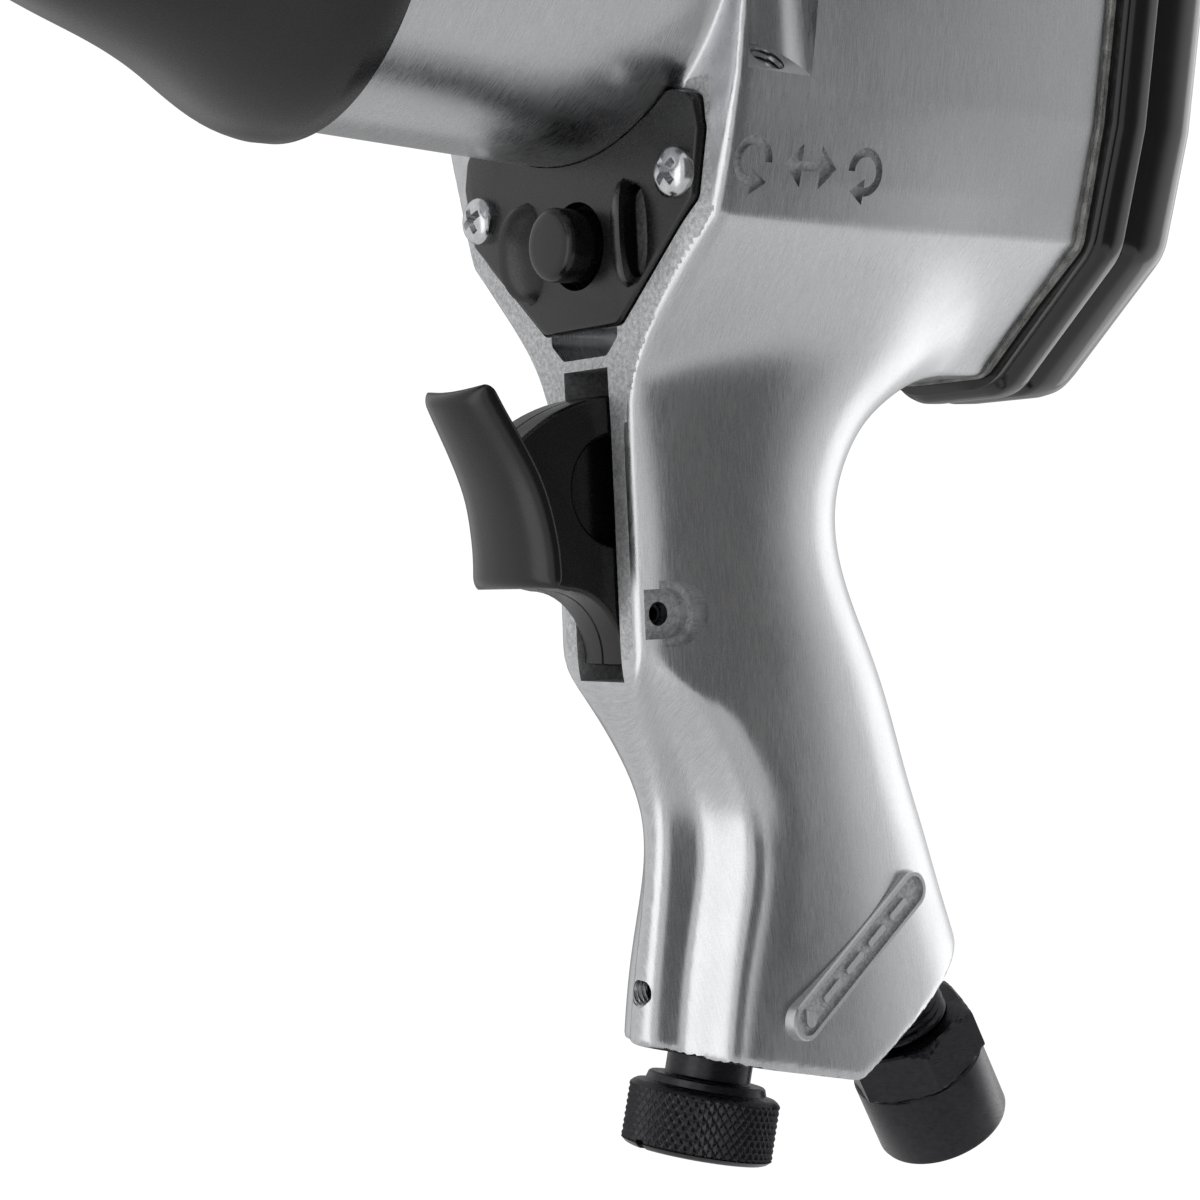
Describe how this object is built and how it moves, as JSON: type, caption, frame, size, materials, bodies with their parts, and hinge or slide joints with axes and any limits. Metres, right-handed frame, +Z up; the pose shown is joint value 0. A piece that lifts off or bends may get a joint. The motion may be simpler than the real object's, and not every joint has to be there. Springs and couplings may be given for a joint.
{
  "type": "impact wrench",
  "caption": "Pistol-grip pneumatic impact wrench with square drive, twin-hammer mechanism, vane motor, trigger, reverse button, air regulator and threaded air inlet.",
  "frame": {"origin": "centre of the square drive's front face, on the drive axis", "axes": "+X along the drive axis out of the nose, +Y the tool's left, +Z up away from the grip"},
  "size_m": [0.227, 0.085, 0.2479],
  "materials": {
    "cast_aluminium": "cast, linished and hand polished",
    "black_rubber": "moulded, satin gloss",
    "bronze": "sintered",
    "seal_rubber": "moulded",
    "hardened_steel": "turned and hardened",
    "drive_steel": "forged, black phosphate with worn edges",
    "spring_steel": "drawn wire",
    "ground_steel": "ground",
    "blade_phenolic": "fibre-reinforced phenolic",
    "cast_iron": "machined",
    "gasket_fibre": "pressed fibre",
    "cover_plastic": "gloss black",
    "black_oxide_steel": "black oxide",
    "zinc_steel": "zinc plated",
    "black_coated_steel": "black powder coat",
    "valve_brass": "turned",
    "control_plastic": "satin black",
    "mesh_steel": "woven mesh cup"
  },
  "bodies": {
    "housing": {"housing": "cast_aluminium", "nose_boot": "black_rubber", "nose_bush": "bronze", "anvil_seal": "seal_rubber", "thrust_washer": "hardened_steel", "front_end_plate": "cast_iron", "rear_end_plate": "cast_iron", "cylinder_liner": "hardened_steel", "bearing_outer_races": "ground_steel", "locating_pin": "ground_steel", "rear_gasket": "gasket_fibre", "rear_cover": "cover_plastic", "cover_screws": "black_oxide_steel", "cover_washers": "zinc_steel", "reverse_plate": "black_coated_steel", "reverse_plate_screws": "zinc_steel", "reverse_valve_sleeve": "valve_brass", "detent_ball": "ground_steel", "detent_spring": "spring_steel", "trigger_pin": "black_oxide_steel", "throttle_bushing": "valve_brass", "throttle_spring": "spring_steel", "regulator_set_screw": "black_oxide_steel", "inlet_bushing": "black_oxide_steel", "inlet_screen": "mesh_steel"},
    "anvil": {"anvil": "drive_steel", "socket_ring": "spring_steel", "socket_o_ring": "seal_rubber"},
    "rotor": {"rotor": "hardened_steel", "rotor_blades": "blade_phenolic", "hammer_cage": "hardened_steel", "hammer_pins": "ground_steel", "bearing_inner_races": "ground_steel", "bearing_balls": "ground_steel"},
    "hammer_front": {"hammer_front": "hardened_steel"},
    "hammer_rear": {"hammer_rear": "hardened_steel"},
    "trigger": {"trigger": "control_plastic"},
    "throttle": {"throttle_stem": "ground_steel", "throttle_seal": "seal_rubber"},
    "reverse_valve": {"reverse_button": "control_plastic", "reverse_spool": "ground_steel"},
    "regulator": {"regulator_knob": "black_oxide_steel", "regulator_o_ring": "seal_rubber"}
  },
  "joints": [
    {"name": "anvil_spin", "type": "hinge", "parent": "housing", "child": "anvil", "pos_m": [0, 0, 0], "axis": [1, 0, 0], "continuous": true},
    {"name": "rotor_spin", "type": "hinge", "parent": "housing", "child": "rotor", "pos_m": [0, 0, 0], "axis": [1, 0, 0], "continuous": true},
    {"name": "hammer_front_rock", "type": "hinge", "parent": "rotor", "child": "hammer_front", "pos_m": [-0.074, 0, 0.0245], "axis": [1, 0, 0], "range_deg": [-5, 5]},
    {"name": "hammer_rear_rock", "type": "hinge", "parent": "rotor", "child": "hammer_rear", "pos_m": [-0.074, 0, -0.0245], "axis": [1, 0, 0], "range_deg": [-5, 5]},
    {"name": "trigger_squeeze", "type": "hinge", "parent": "housing", "child": "trigger", "pos_m": [-0.125, 0, -0.1054], "axis": [0, -1, 0], "range_deg": [0, 10], "stiffness_Nm_per_rad": 1.5, "springref_deg": -5.73},
    {"name": "throttle_slide", "type": "slide", "parent": "housing", "child": "throttle", "axis": [-1, 0, 0], "range_m": [0, 0.0036], "deforming": ["throttle_spring"]},
    {"name": "reverse_slide", "type": "slide", "parent": "housing", "child": "reverse_valve", "axis": [1, 0, 0], "range_m": [0, 0.006]},
    {"name": "regulator_turn", "type": "hinge", "parent": "housing", "child": "regulator", "pos_m": [-0.1403, 0, -0.17587], "axis": [0.2672, 0, -0.9636], "range_deg": [0, 270]}
  ],
  "couplings": [
    {"joint": "throttle_slide", "follows": "trigger_squeeze", "m_per_rad": 0.02}
  ]
}
